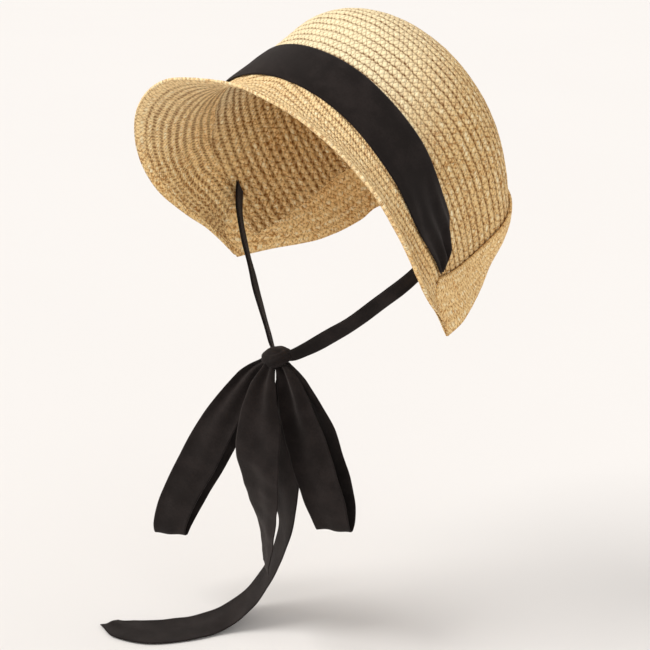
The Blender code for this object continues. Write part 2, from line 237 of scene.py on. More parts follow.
class BonnetSizes(bpy.types.PropertyGroup):
    """Sizes of the braid, the ribbon and their folds."""
    braid_row: FloatProperty(
        name="Braid row", description="Width of one sewn row of braid", default=0.0066, unit="LENGTH")
    groove_depth: FloatProperty(
        name="Groove depth", description="Depth of the grooves between rows", default=0.0008, unit="LENGTH")
    edge_strip: FloatProperty(
        name="Edge strip", description="Flat braid along the free edges", default=0.0105, unit="LENGTH")
    rim: FloatProperty(
        name="Rim", description="Width of the rounded rim at the free edges", default=0.0038, unit="LENGTH")
    ribbon_width: FloatProperty(
        name="Ribbon width", description="Width of the ribbon laid flat", default=0.038, unit="LENGTH")
    ribbon_cloth: FloatProperty(
        name="Ribbon cloth", description="Thickness of the ribbon", default=0.0006, unit="LENGTH")
    fold_limit: FloatProperty(
        name="Fold limit", description="Largest height of a fold", default=0.0028, unit="LENGTH")
    around: IntProperty(
        name="Steps around", description="Steps of the straw pieces from side to side", default=190)


class BonnetColours(bpy.types.PropertyGroup):
    """Colours of the straw, the ribbon and the floor."""
    straw_light: FloatVectorProperty(
        name="Light straw", description="Bright strands", subtype="COLOR", default=(1.0, 0.70, 0.325))
    # Painted highlight colour: the straw is painted paler towards the top of the front, where the key light
    # falls, and on lit crests
    straw_highlight: FloatVectorProperty(
        name="Bleached straw", description="Paler strands at the top", subtype="COLOR",
        default=(0.96, 0.85, 0.57))
    straw_dark: FloatVectorProperty(
        name="Dark straw", description="Aged strands", subtype="COLOR", default=(0.53, 0.245, 0.065))
    straw_groove: FloatVectorProperty(
        name="Groove", description="Shade between the rows", subtype="COLOR", default=(0.185, 0.065, 0.010))
    ribbon: FloatVectorProperty(
        name="Ribbon", description="Dyed cloth", subtype="COLOR", default=(0.0085, 0.006, 0.0055))
    floor: FloatVectorProperty(
        name="Floor", description="Pale floor", subtype="COLOR", default=(0.785, 0.77, 0.76))


def sizes():
    """The sizes of the current scene."""
    return bpy.context.scene.bonnet_sizes


def colours():
    """The colours of the current scene."""
    return bpy.context.scene.bonnet_colours


def hermite(before, start, end, after, share):
    """One value of a Catmull-Rom curve between start and end."""
    slope_in = (end - before) / 2
    slope_out = (after - start) / 2
    step = end - start
    square = share * share
    cube = square * share
    return start + slope_in * share + (3 * step - 2 * slope_in - slope_out) * square \
        + (slope_in + slope_out - 2 * step) * cube


def read(rows, place, column):
    """Smooth reading of a table's column at a place given by its first column."""
    last = len(rows) - 1
    index = 0
    while index < last - 1 and place > rows[index + 1][0]:
        index += 1
    left = rows[index]
    right = rows[index + 1]
    share = (place - left[0]) / (right[0] - left[0])
    before = rows[max(index - 1, 0)]
    after = rows[min(index + 2, last)]
    return hermite(before[column], left[column], right[column], after[column], share)


def reach_along(points):
    """Distances from the start of a line of points to each of them."""
    reach = [0.0]
    for first, second in zip(points, points[1:]):
        reach.append(reach[-1] + (second - first).length)
    return reach


def even_points(points, count):
    """Points at even distances on a line of points."""
    reach = reach_along(points)
    even = []
    index = 0
    for step in range(count):
        goal = reach[-1] * step / (count - 1)
        while index < len(points) - 2 and reach[index + 1] < goal:
            index += 1
        share = (goal - reach[index]) / max(reach[index + 1] - reach[index], 1e-9)
        even.append(points[index].lerp(points[index + 1], share))
    return even


def through(points, count):
    """Points at even distances on the smooth curve through the given ones."""
    fine = []
    last = len(points) - 1
    for index in range(last):
        before = points[max(index - 1, 0)]
        after = points[min(index + 2, last)]
        for step in range(20):
            fine.append(hermite(before, points[index], points[index + 1], after, step / 20))
    fine.append(points[last])
    return even_points(fine, count)


def upright(point):
    """A point of the hat's frame turned to +Z up."""
    side, rise, back = point
    return Vector((side, back * cos(TILT) - rise * sin(TILT), back * sin(TILT) + rise * cos(TILT)))


def crown_sizes(back):
    """Half width, rise and fall of the crown's outer section at a place along the axis."""
    if back >= WALL_END:
        reach = min((back - WALL_END) / DOME_LENGTH, 1.0)
        dome = (1 - reach ** DOME_POWER) ** (1 / DOME_POWER)
        return CROWN_HALF_WIDTH * dome, CROWN_RISE * dome, CROWN_FALL * dome
    open_share = ((WALL_END - back) / WALL_END) ** 2
    half = CROWN_HALF_WIDTH + (FRONT_HALF_WIDTH - CROWN_HALF_WIDTH) * open_share
    rise = CROWN_RISE + (FRONT_RISE - CROWN_RISE) * open_share
    return half, rise, CROWN_FALL


def crown_bare(angle, back):
    """Point of the crown's outer face in the hat's frame, angle measured from the top."""
    half, rise, fall = crown_sizes(back)
    height = rise if cos(angle) > 0 else fall
    return Vector((half * sin(angle), height * cos(angle) - AXIS_DROP, back))


def crown_point(angle, back, lift=0.0):
    """Point at a distance outside the crown's outer face, or inside it if the lift is negative."""
    step = 0.0005
    point = crown_bare(angle, back)
    along = crown_bare(angle, back + step) - crown_bare(angle, back - step)
    round_it = crown_bare(angle + step, back) - crown_bare(angle - step, back)
    normal = round_it.cross(along).normalized()
    if normal.dot(point + Vector((0, AXIS_DROP, -WALL_END))) < 0:
        normal.negate()
    return point + normal * lift


def seat():
    """Highest point of the crown's inner face in the hat's frame, turned upright."""
    points = []
    for step in range(201):
        points.append(upright(crown_point(0.0, WALL_END + DOME_LENGTH * 0.8 * step / 200, -STRAW)))
    return max(points, key=lambda point: point.z)


SEAT = seat()


def place(point):
    """A point of the hat's frame put where the solids are."""
    return upright(point) - SEAT


def seam_back(share):
    """Place of the seam along the axis at a share of the ear angle."""
    return SEAM_BACK * read(SEAM, abs(share), 1)


def band_depth(share):
    """Depth of the band along the axis at a share of the ear angle."""
    return BAND_DEPTH * read(BAND, abs(share), 1)


def joint_back(share):
    """Place where the crown's edge meets the brim's, hidden under the band."""
    return seam_back(share) + BAND_JOINT * band_depth(min(abs(share), BAND[-1][0]))


def brim_edge(count):
    """Free edge of the brim from the right ear tip over the top to the left one."""
    half = [Vector((side * BRIM_HALF_WIDTH, -drop * BRIM_HEIGHT, back * BRIM_BOW))
            for side, drop, back in BRIM_EDGE]
    mirrored = [Vector((-point.x, point.y, point.z)) for point in reversed(half[1:])]
    return through(mirrored + half, count)


def brim_bend(share, edge):
    """Seam point of the brim and the point that its cross-section bends towards."""
    angle = share * EAR_ANGLE
    seam = crown_bare(angle, seam_back(share))
    ahead = (crown_bare(angle, seam_back(share) - 0.001) - seam).normalized()
    return seam, seam + ahead * (edge - seam).length * FLARE_START


def nape_point(around, drop):
    """Point on the crown at a drop below the brim: around is 0 at the ear and 1 at the middle."""
    fall = (drop - AXIS_DROP) / CROWN_FALL
    if around <= NAPE_TURN:
        front = SEAM_BACK * SEAM[-1][1]
        return crown_point(acos(-fall), front + (WALL_END - front) * around / NAPE_TURN, STRAW + LAP_GAP)
    quarter = (around - NAPE_TURN) / (1 - NAPE_TURN) * pi / 2
    dome = hypot((1 - fall * fall) ** 0.5 * cos(quarter), fall)
    reach = max(1 - dome ** DOME_POWER, 0.0) ** (1 / DOME_POWER)
    return crown_point(acos(-fall / dome), WALL_END + DOME_LENGTH * reach, STRAW + LAP_GAP)


def nape_top_drop(around):
    """Drop of the strip's upper edge: it leaves the ear steeply and levels off at the nape line."""
    ear = -crown_bare(EAR_ANGLE, seam_back(1.0)).y
    return NAPE_LINE - (NAPE_LINE - ear) * (1 - min(around / NAPE_TURN, 1.0)) ** NAPE_EASE


def nape_column(share, tip):
    """Cross-section of the nape strip from its upper edge to its free edge."""
    rows = [(0.0, tip.x / NAPE_HALF_WIDTH, -tip.y / NAPE_DROP, tip.z / NAPE_BACK)] + NAPE_EDGE
    start = -EAR_OVERLAP / NAPE_HALF_WIDTH
    side = -1 if share < 0 else 1
    around = start + (1 - start) * (1 - abs(share))
    free = Vector((
        side * read(rows, around, 1) * NAPE_HALF_WIDTH,
        -read(rows, around, 2) * NAPE_DROP,
        read(rows, around, 3) * NAPE_BACK,
    ))
    drop = nape_top_drop(around)
    top = nape_point(around, drop)
    below = nape_point(around, drop + 0.001)
    top.x *= side
    below.x *= side
    hug = top + (below - top).normalized() * (free - top).length * NAPE_HUG
    ear_bend = brim_bend(1.0, tip)[1]
    ear_bend.x *= side
    hug = ear_bend.lerp(hug, min(around / EAR_BLEND, 1.0))
    return bent(top, hug, free)


def bent(start, bend, end):
    """Points on a simple curve from start to end that bends towards a third point."""
    line = []
    for step in range(BEND_STEPS + 1):
        way = step / BEND_STEPS
        line.append(start * (1 - way) ** 2 + bend * 2 * way * (1 - way) + end * way ** 2)
    return line


def at_distance(line, distance):
    """Point at a distance along a line of points, held at its end."""
    for first, second in zip(line, line[1:]):
        step = (second - first).length
        if distance <= step:
            return first.lerp(second, distance / max(step, 1e-9))
        distance -= step
    return line[-1].copy()


def ripple(point, size, seed):
    """Smooth random value from -1 to 1 at a place."""
    return noise.noise(point / size + Vector((seed, seed * 1.7, seed * 2.3)))


def row_sway(spot):
    """How far a row strays from its even place, as hand-guided sewing does."""
    return ROW_SWAY * noise.noise(spot)


def braid_ridge(share):
    """Height of a row of braid across its width: 0 in the groove and 1 on its crest."""
    return 1 - abs(2 * share - 1) ** 3


def ride(obj, slot, *nodes):
    """Tie a piece to the body, and hide the solids that it stands for."""
    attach(obj, "root")
    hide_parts(*nodes)


def link(name, mesh, look):
    """Turn a mesh into a smooth named object."""
    data = bpy.data.meshes.new(name)
    mesh.to_mesh(data)
    mesh.free()
    data.shade_smooth()
    data.materials.append(look)
    obj = bpy.data.objects.new(name, data)
    bpy.context.scene.collection.objects.link(obj)
    return obj


def laid_grid(mesh, columns, lines):
    """Lay a grid in a mesh, and give the column and line of each of its corners."""
    bmesh.ops.create_grid(mesh, x_segments=columns, y_segments=lines, size=0.5)
    corner = {}
    for vert in mesh.verts:
        corner[vert] = (round((vert.co.x + 0.5) * columns), round((vert.co.y + 0.5) * lines))
    return corner


def straw_piece(name, columns, lines, point, mark, relief, look, trim=None):
    """Straw wall: a grid laid on point(i, j), with texture places, relief and wall shares by corner.

    mark(i, j, low) gives the texture place of a corner in the face that starts at line low, and relief(j)
    gives the height, the wall's share and how strongly the painted groove shade shows at line j.
    """
    mesh = bmesh.new()
    places = mesh.loops.layers.uv.new("braid")
    wall = mesh.verts.layers.deform.verify()
    mesh.verts.layers.float.new("rows")
    mesh.verts.layers.float.new("height")
    rows = mesh.verts.layers.float["rows"]
    height = mesh.verts.layers.float["height"]
    corner = laid_grid(mesh, columns, lines)
    for face in mesh.faces:
        low = min(corner[vert][1] for vert in face.verts)
        for loop in face.loops:
            loop[places].uv = mark(*corner[loop.vert], low)
    for vert in mesh.verts:
        across, line = corner[vert]
        vert.co = point(across, line)
        vert[height], vert[wall][0], vert[rows] = relief(line)
    if trim is not None:
        bmesh.ops.bisect_plane(mesh, geom=mesh.verts[:] + mesh.edges[:] + mesh.faces[:],
                               plane_co=trim, plane_no=(0, -1, 0), clear_outer=True)
    bmesh.ops.remove_doubles(mesh, verts=mesh.verts, dist=1e-5)
    for vert in mesh.verts:
        vert.co = place(vert.co)
    before = place(FACE_SIDE)
    bmesh.ops.recalc_face_normals(mesh, faces=mesh.faces)
    far = max(mesh.faces, key=lambda item: (item.calc_center_median() - before).length)
    if far.normal.dot(far.calc_center_median() - before) < 0:
        bmesh.ops.reverse_faces(mesh, faces=mesh.faces)
    mesh.normal_update()
    moved = []
    for vert in mesh.verts:
        fine = FINE_BUMPS[0] * ripple(vert.co, FINE_BUMPS[1], 3.0)
        broad = BROAD_BUMPS[0] * (ripple(vert.co, BROAD_BUMPS[1], 9.0) - 0.5)
        moved.append(vert.co + vert.normal * (vert[height] + (fine + broad)))
    for vert, spot in zip(mesh.verts, moved):
        vert.co = spot
    mesh.verts.layers.float.remove(height)
    obj = link(name, mesh, look)
    obj.vertex_groups.new(name="wall")
    thick = obj.modifiers.new("wall", "SOLIDIFY")
    thick.thickness = STRAW
    thick.offset = -1.0
    thick.vertex_group = "wall"
    thick.thickness_vertex_group = 0.3
    return obj


def edge_lines(reach):
    """Distances from a free edge: rounded rim, flat strip, then rows of braid, up to a reach."""
    rim = sizes().rim
    strip = sizes().edge_strip
    lines = [(rim * share, 0) for share in (0.0, 0.15, 0.4, 0.7, 1.0, 1.3)] + [(strip * 0.7, 0)]
    row = 1
    start = strip
    while start < reach:
        for share in ROW_STEPS:
            lines.append((start + share * sizes().braid_row, row))
        start += sizes().braid_row
        row += 1
    lines.append((start, row))
    return lines


def edge_relief(distance, row):
    """Height, wall share and strength of the painted groove shade at a distance from the free edge."""
    rim = sizes().rim
    if row == 0:
        bulge = 0.0004 * (1 - (2 * min(distance / rim, 1.0) - 1) ** 2) if distance < rim else -0.0003
        return bulge, 0.85, 0.0
    ridge = braid_ridge(((distance - sizes().edge_strip) / sizes().braid_row) % 1.0)
    return sizes().groove_depth * (ridge - 1) - 0.0001, 0.25 + 0.75 * ridge, 1.0


def braid_place(along, distance, low_row):
    """Texture place of a corner: metres along the braid, and its row number and share."""
    if low_row == 0:
        return along, 1.6 * distance / sizes().edge_strip - 1.61
    start = sizes().edge_strip + (low_row - 1) * sizes().braid_row
    return along + 0.0017 * low_row, low_row + (distance - start) / sizes().braid_row


def math_node(tree, operation, first, second=None):
    """Output of a math node on sockets or numbers."""
    node = tree.nodes.new("ShaderNodeMath")
    node.operation = operation
    for index, value in enumerate((first, second)):
        if value is None:
            continue
        if isinstance(value, (int, float)):
            node.inputs[index].default_value = value
        else:
            tree.links.new(value, node.inputs[index])
    return node.outputs[0]


def times(tree, first, second):
    """Output of a product."""
    return math_node(tree, "MULTIPLY", first, second)


def plus(tree, first, second):
    """Output of a sum."""
    return math_node(tree, "ADD", first, second)


def smooth_range(tree, value, low, high, start=0.0, end=1.0):
    """Output of a smooth change from start to end between two values."""
    node = tree.nodes.new("ShaderNodeMapRange")
    node.interpolation_type = "SMOOTHSTEP"
    tree.links.new(value, node.inputs["Value"])
    node.inputs["From Min"].default_value = low
    node.inputs["From Max"].default_value = high
    node.inputs["To Min"].default_value = start
    node.inputs["To Max"].default_value = end
    return node.outputs[0]


def mixed(tree, share, first, second):
    """Colour between two colours, each a socket or three numbers."""
    node = tree.nodes.new("ShaderNodeMix")
    node.data_type = "RGBA"
    tree.links.new(share, node.inputs["Factor"])
    for socket, value in ((node.inputs[6], first), (node.inputs[7], second)):
        if isinstance(value, bpy.types.NodeSocket):
            tree.links.new(value, socket)
        else:
            socket.default_value = (*value, 1.0)
    return node.outputs[2]


def noise_node(tree, vector, scale, detail=2.0):
    """Fine noise on a vector."""
    node = tree.nodes.new("ShaderNodeTexNoise")
    node.inputs["Scale"].default_value = scale
    node.inputs["Detail"].default_value = detail
    tree.links.new(vector, node.inputs["Vector"])
    return node.outputs["Fac"]


def shaded(name, roughness, specular):
    """New material with its tree and shader, rough and without metal."""
    look = bpy.data.materials.new(name)
    look.use_nodes = True
    shader = look.node_tree.nodes["Principled BSDF"]
    shader.inputs["Roughness"].default_value = roughness
    shader.inputs["Specular IOR Level"].default_value = specular
    return look, look.node_tree, shader


def half_wave(tree, value):
    """Output of a sine that is zero at every whole number."""
    return math_node(tree, "SINE", times(tree, value, pi))


def separated(tree, vector):
    """The three outputs of a vector taken apart."""
    node = tree.nodes.new("ShaderNodeSeparateXYZ")
    tree.links.new(vector, node.inputs[0])
    return list(node.outputs)


def combined(tree, *parts):
    """Output of a vector put together from three sockets."""
    node = tree.nodes.new("ShaderNodeCombineXYZ")
    for part, socket in zip(parts, node.inputs):
        tree.links.new(part, socket)
    return node.outputs[0]


def texture_place(tree, name):
    """Texture place along and across a piece."""
    node = tree.nodes.new("ShaderNodeUVMap")
    node.uv_map = name
    return separated(tree, node.outputs[0])[:2]


def object_place(tree):
    """Place in the object's own space."""
    return tree.nodes.new("ShaderNodeTexCoord").outputs["Object"]


def bumped(tree, shader, height, strength, distance):
    """Fine relief on the shader from a height."""
    bump = tree.nodes.new("ShaderNodeBump")
    bump.inputs["Strength"].default_value = strength
    bump.inputs["Distance"].default_value = distance
    tree.links.new(height, bump.inputs["Height"])
    tree.links.new(bump.outputs[0], shader.inputs["Normal"])


def straw_look(name, painted_shade_scale, plait, weave_depth, groove_shade_strength, top_light_strength):
    """Plaited straw: small slanted strands that cross in each row, with painted shade in the gaps and in
    the grooves between rows, and painted light on the top of the front and on crests.
    """
    look, tree, shader = shaded(name, 0.7, 0.12)
    along, row = texture_place(tree, "braid")
    spot = object_place(tree)
    share = math_node(tree, "FRACT", row)
    number = math_node(tree, "FLOOR", row)
    start = tree.nodes.new("ShaderNodeTexWhiteNoise")
    start.noise_dimensions = "1D"
    tree.links.new(number, start.inputs["W"])
    own_start = start.outputs["Value"]

    # Rows that wander a little, and the two sets of strands that cross in them
    wobble = noise_node(tree, spot, 130.0)
    wavy = plus(tree, row, times(tree, math_node(tree, "SUBTRACT", wobble, 0.5), 0.30))
    ridge = times(tree, math_node(tree, "PINGPONG", wavy, 0.5), 2.0)
    shift = plus(tree, own_start, times(tree, wobble, 0.9))
    step = plus(tree, math_node(tree, "DIVIDE", along, plait), shift)
    first = plus(tree, step, share)
    second = math_node(tree, "SUBTRACT", step, share)
    crossing = times(tree, half_wave(tree, first), half_wave(tree, second))
    pillow = math_node(tree, "POWER", math_node(tree, "ABSOLUTE", crossing), 0.45)

    # A tone for each crossing, and streaks along whichever strand lies on top
    first_cell = math_node(tree, "FLOOR", first)
    second_cell = math_node(tree, "FLOOR", second)
    tone = tree.nodes.new("ShaderNodeTexWhiteNoise")
    tree.links.new(combined(tree, first_cell, second_cell, number), tone.inputs["Vector"])
    own_tone = tone.outputs["Value"]
    odd = math_node(tree, "MODULO", plus(tree, first_cell, second_cell), 2.0)
    over = math_node(tree, "ABSOLUTE", odd)
    strands = combined(
        tree,
        times(tree, first, smooth_range(tree, over, 0.0, 1.0, 0.9, 5.5)),
        times(tree, second, smooth_range(tree, over, 0.0, 1.0, 5.5, 0.9)),
        times(tree, number, 7.3),
    )
    streak = smooth_range(tree, noise_node(tree, strands, 1.0), 0.34, 0.66)
    patches = noise_node(tree, spot, 28.0)
    flecks = smooth_range(tree, noise_node(tree, spot, 520.0, 3.0), 0.38, 0.62)

    # Straw colour, with painted light towards the top of the front and painted highlights on the crests
    own = plus(tree, own_tone, times(tree, own_start, 0.5))
    strand = times(tree, streak, 0.40)
    for value, weight in ((flecks, 0.55), (patches, 0.30), (own, 0.20)):
        strand = plus(tree, times(tree, value, weight), strand)
    # Light and dark straw scaled per piece: the crown's lower scale is painted shade
    light = [channel * painted_shade_scale for channel in colours().straw_light]
    dark = [channel * painted_shade_scale for channel in colours().straw_dark]
    colour = mixed(tree, smooth_range(tree, strand, 0.22, 0.92), dark, light)
    _, depth, height = separated(tree, spot)
    # Painted light on the top of the front, where the key light falls
    painted_top_light = smooth_range(tree, math_node(tree, "SUBTRACT", height, depth), -0.09, 0.04, 0.0, top_light_strength)
    colour = mixed(tree, painted_top_light, colour, colours().straw_highlight)
    # Painted highlights on the crests of some strands
    bright = smooth_range(tree, plus(tree, streak, own_tone), 1.0, 1.8, 0.0, 0.9)
    painted_crest_highlight = times(tree, smooth_range(tree, ridge, 0.30, 0.90), bright)
    colour = mixed(tree, painted_crest_highlight, colour, colours().straw_highlight)

    # Painted shade in the gaps between crossings, and painted shade in dashes along the grooves
    broken = smooth_range(tree, flecks, 0.0, 1.0, 1.0, 0.20)
    gap_shade = times(tree, smooth_range(tree, pillow, 0.10, 0.80, 0.50, 0.0), broken)
    colour = mixed(tree, gap_shade, colour, [channel * 0.55 for channel in dark])
    # The rows attribute holds how strongly the painted groove shade shows at each corner
    rows = tree.nodes.new("ShaderNodeAttribute")
    rows.attribute_name = "rows"
    uneven = smooth_range(tree, noise_node(tree, spot, 45.0, 3.0), 0.32, 0.58, 0.68, 1.0)
    bead = math_node(tree, "ABSOLUTE", half_wave(tree, first))
    dash = times(tree, uneven, smooth_range(tree, bead, 0.15, 0.85, 1.0, 0.58))
    # Painted shade in the grooves between rows, unevenly strong
    groove = times(tree, smooth_range(tree, ridge, 0.05, 0.40, groove_shade_strength, 0.0),
                   times(tree, rows.outputs["Fac"], dash))
    colour = mixed(tree, groove, colour, colours().straw_groove)
    tree.links.new(colour, shader.inputs["Base Color"])

    fibre = noise_node(tree, spot, 900.0, 3.0)
    bumped(tree, shader, plus(tree, pillow, times(tree, fibre, 0.35)), 0.85, weave_depth)
    return look


def ribbon_look(name):
    """Dyed cotton ribbon: a fine plain weave with a soft bloom."""
    look, tree, shader = shaded(name, 0.92, 0.15)
    shader.inputs["Sheen Weight"].default_value = 0.10
    shader.inputs["Sheen Roughness"].default_value = 0.45
    shader.inputs["Sheen Tint"].default_value = (0.75, 0.66, 0.62, 1.0)
    warp, weft = [math_node(tree, "SINE", times(tree, part, 2 * pi / THREAD))
                  for part in texture_place(tree, "cloth")]
    weave = times(tree, warp, weft)
    spot = object_place(tree)
    wear = noise_node(tree, spot, 60.0, 4.0)
    lint = noise_node(tree, spot, 700.0, 2.0)
    base = list(colours().ribbon)
    uneven = [channel * 1.8 + 0.002 for channel in base]
    shade = plus(tree, times(tree, wear, 0.7), times(tree, lint, 0.3))
    colour = mixed(tree, smooth_range(tree, shade, 0.38, 0.68), base, uneven)
    tree.links.new(colour, shader.inputs["Base Color"])
    bumped(tree, shader, plus(tree, weave, lint), 0.35, 0.0002)
    return look


def look_of(name, make, *choices):
    """A finish made once and shared by the pieces that use it."""
    return bpy.data.materials.get(name) or make(name, *choices)


def cloth_piece(name, columns, lines, point, mark):
    """Thin cloth: a grid laid on point(i, j), with texture places in metres."""
    mesh = bmesh.new()
    places = mesh.loops.layers.uv.new("cloth")
    corner = laid_grid(mesh, columns, lines)
    for face in mesh.faces:
        for loop in face.loops:
            loop[places].uv = mark(*corner[loop.vert])
    for vert in mesh.verts:
        vert.co = point(*corner[vert])
    bmesh.ops.recalc_face_normals(mesh, faces=mesh.faces)
    obj = link(name, mesh, look_of("ribbon_cloth", ribbon_look))
    wall = obj.modifiers.new("cloth", "SOLIDIFY")
    wall.thickness = sizes().ribbon_cloth
    wall.offset = 0.0
    return obj


def direction(heading, lift=0.0):
    """Unit vector from a heading in degrees and a lift in radians."""
    turn = radians(heading)
    return Vector((cos(turn) * cos(lift), sin(turn) * cos(lift), sin(lift)))


def stations(rows, count):
    """Centres, sides and widths at even places along rows of centre, side and width, and the length."""
    centres = through([row[0] for row in rows], count)
    length = reach_along(centres)[-1]
    reach = reach_along([row[0] for row in rows])
    table = [(reach[index] / reach[-1], row[2], *row[1]) for index, row in enumerate(rows)]
    sides = []
    widths = []
    for index in range(count):
        spot = index / (count - 1)
        widths.append(read(table, spot, 1))
        sides.append(Vector([read(table, spot, column) for column in (2, 3, 4)]).normalized())
    return centres, sides, widths, length


def faces_of(centres, sides):
    """Unit vectors square to a strip at each of its stations."""
    last = len(centres) - 1
    found = []
    for index, side in enumerate(sides):
        ahead = centres[min(index + 1, last)] - centres[max(index - 1, 0)]
        found.append(ahead.cross(side).normalized())
    return found


def ribbon_piece(name, rows, count, folds, seed, hang, slant=0.0):
    """Ribbon along its stations, gathered in lengthwise folds wherever it is squeezed.

    hang(share) says how much of the folds is left at a share of the length.
    """
    centres, sides, widths, length = stations(rows, count)
    faces = faces_of(centres, sides)
    flat = sizes().ribbon_width
    across = 26

    def point(column, line):
        share = column / across
        width = widths[line]
        squeeze = max(flat / width, 1.0)
        fold = min(width / (2 * pi * folds) * (2 * (squeeze ** 2 - 1)) ** 0.5 * 0.75, sizes().fold_limit)
        fold *= min(width / (0.5 * flat), 1.0)
        fold *= hang(line / (count - 1))
        wave = fold * sin(2 * pi * folds * share + seed + 1.5 * line / count)
        spot = centres[line] + sides[line] * (share - 0.5) * width
        crease = 0.0012 * ripple(Vector((share * 0.8, 7.0 * line / count, seed)), 0.45, seed)
        if slant:
            late = max(line / (count - 1) * 5 - 4, 0.0)
            ahead = (centres[line] - centres[max(line - 1, 0)]).normalized()
            spot += ahead * slant * late * (share - 0.5)
        return spot + faces[line] * (wave + crease)

    def mark(column, line):
        return length * line / (count - 1), flat * column / across

    obj = cloth_piece(name, across, count - 1, point, mark)
    return obj


def loop_hang(share):
    """Folds of a loop: full at the knot, nearly flat where the loop turns at its bottom."""
    return 0.12 + 0.88 * abs(2 * share - 1) ** 1.3


def tail_hang(share):
    """Folds of a tail: full at the knot and fading towards its end."""
    return 0.1 + 0.9 * (1 - share) ** 2.0


def loop_rows(side, drop, spread, forward):
    """Stations of a bow loop: down the front layer, round the bottom and up the back layer."""
    level = direction(LOOP_HEADING)
    out = Vector((level.y, -level.x, 0))
    down = []
    up = []
    for fall, across, ahead, belly, width in LOOP:
        width_way = direction(LOOP_HEADING, LOOP_LIFT * fall)
        centre = KNOT + Vector((side * spread * across, -forward * ahead, -drop * fall))
        down.append((centre + out * LOOP_BELLY * belly, width_way, sizes().ribbon_width * width))
        up.append((centre - out * LOOP_BELLY * belly, width_way, sizes().ribbon_width * width))
    return down + up[-2::-1]


def tail_rows(table, sway, forward, drop):
    """Stations of a free tail."""
    rows = []
    for across, ahead, fall, width, heading in table:
        centre = KNOT + Vector((sway * across, -forward * ahead, -drop * fall))
        rows.append((centre, direction(heading), sizes().ribbon_width * width))
    return rows


class BONNET_OT_crown(bpy.types.Operator):
    """Crown of braid rows that arch over the head and close in rings at the back"""
    bl_idname = "bonnet.crown"
    bl_label = "Crown"

    def execute(self, context):
        columns = sizes().around
        row_width = sizes().braid_row
        end = WALL_END + DOME_LENGTH
        steps = 1200
        places = [end * (1 - (1 - step / steps) ** 2) for step in range(steps + 1)]
        reach = reach_along([crown_bare(pi / 2, back) for back in places])
        rows = int(reach[-1] / row_width)
        first = int(SEAM_BACK / row_width) - 1
        lines = []
        for row in range(first, rows):
            lines.extend((row + share, row) for share in ROW_STEPS)
        lines.append((rows, rows))
        backs = []
        index = 0
        for number, _ in lines:
            goal = reach[-1] * number / rows
            while index < steps - 1 and reach[index + 1] < goal:
                index += 1
            share = (goal - reach[index]) / (reach[index + 1] - reach[index])
            backs.append(places[index] + (places[index + 1] - places[index]) * min(share, 1.0))

        def point(column, line):
            angle = 2 * pi * column / columns - pi
            front = joint_back(min(abs(angle) / EAR_ANGLE, 1.0)) - JOINT_LAP
            sway = row_sway(Vector((cos(angle) * 6.5, sin(angle) * 6.5, lines[line][0] * 0.7)))
            fade = min((end - backs[line]) / SWAY_FADE, 1.0)
            return crown_bare(angle, max(backs[line] + sway * fade, front))

        def mark(column, line, low):
            row = lines[low][1]
            middle = backs[min((row - first) * len(ROW_STEPS) + 3, len(backs) - 1)]
            angle = 2 * pi * column / columns - pi
            return angle * crown_sizes(middle)[0] * 1.08, lines[line][0]

        def relief(line):
            near = min((rows - lines[line][0]) / 1.2, 1.0)
            dip = (braid_ridge(lines[line][0] % 1.0) - 1) * near
            return sizes().groove_depth * dip - 0.0001, 1 + 0.75 * dip, near

        look = look_of("crown_braid", straw_look, *CROWN_LOOK)
        obj = straw_piece("crown_braid_rows", columns, len(lines) - 1, point, mark, relief, look,
                          trim=(0, -CROWN_CUT, 0))
        ride(obj, "crown_straw", "crown")
        return {"FINISHED"}


class BONNET_OT_brim(bpy.types.Operator):
    """Flaring brim: a rounded rim, a flat edge strip and rows of braid back to the band"""
    bl_idname = "bonnet.brim"
    bl_label = "Brim"

    def execute(self, context):
        columns = sizes().around
        edge = brim_edge(columns + 1)
        sections = []
        longest = 0.0
        for index, free in enumerate(edge):
            share = 2 * index / columns - 1
            seam, bend = brim_bend(share, free)
            line = bent(free, bend, seam) + [crown_bare(share * EAR_ANGLE, joint_back(share))]
            longest = max(longest, reach_along(line)[-1])
            sections.append(line)
        lines = edge_lines(longest)
        step = reach_along(edge)[-1] / columns

        def point(column, line):
            distance, row = lines[line]
            if row > 0:
                distance += row_sway(Vector((column * step / 0.016, distance / 0.009, 5.0)))
            return at_distance(sections[column], distance)

        def mark(column, line, low):
            return braid_place(column * step, lines[line][0], lines[low][1])

        def relief(line):
            return edge_relief(*lines[line])

        look = look_of("brim_braid", straw_look, *BRIM_LOOK)
        obj = straw_piece("brim_braid_rows", columns, len(lines) - 1, point, mark, relief, look)
        ride(obj, "brim_straw", "brim")
        return {"FINISHED"}


class BONNET_OT_nape_strip(bpy.types.Operator):
    """Strip of finer braid round the nape, from ear tip to ear tip"""
    bl_idname = "bonnet.nape_strip"
    bl_label = "Nape strip"

    def execute(self, context):
        columns = sizes().around
        tip = brim_edge(57)[-1]
        sections = [nape_column(2 * index / columns - 1, tip) for index in range(columns + 1)]
        rows = 6
        lines = [row + share for row in range(rows) for share in ROW_STEPS] + [rows]
        reach = reach_along([section[-1] for section in sections])

        def point(column, line):
            section = sections[column]
            spot = (len(section) - 1) * lines[line] / rows
            index = min(int(spot), len(section) - 2)
            return section[index].lerp(section[index + 1], spot - index)

        def mark(column, line, low):
            return reach[column], lines[line]

        def relief(line):
            ridge = braid_ridge(lines[line] % 1.0)
            if lines[line] < 0.01 or lines[line] > rows - 0.01:
                return -0.0001, 0.8, 0.2
            return sizes().groove_depth * 0.4 * (ridge - 1), 0.65 + 0.35 * ridge, 0.35

        look = look_of("nape_braid", straw_look, *NAPE_LOOK)
        obj = straw_piece("nape_braid_rows", columns, len(lines) - 1, point, mark, relief, look)
        ride(obj, "nape_straw", "nape_strip")
        return {"FINISHED"}


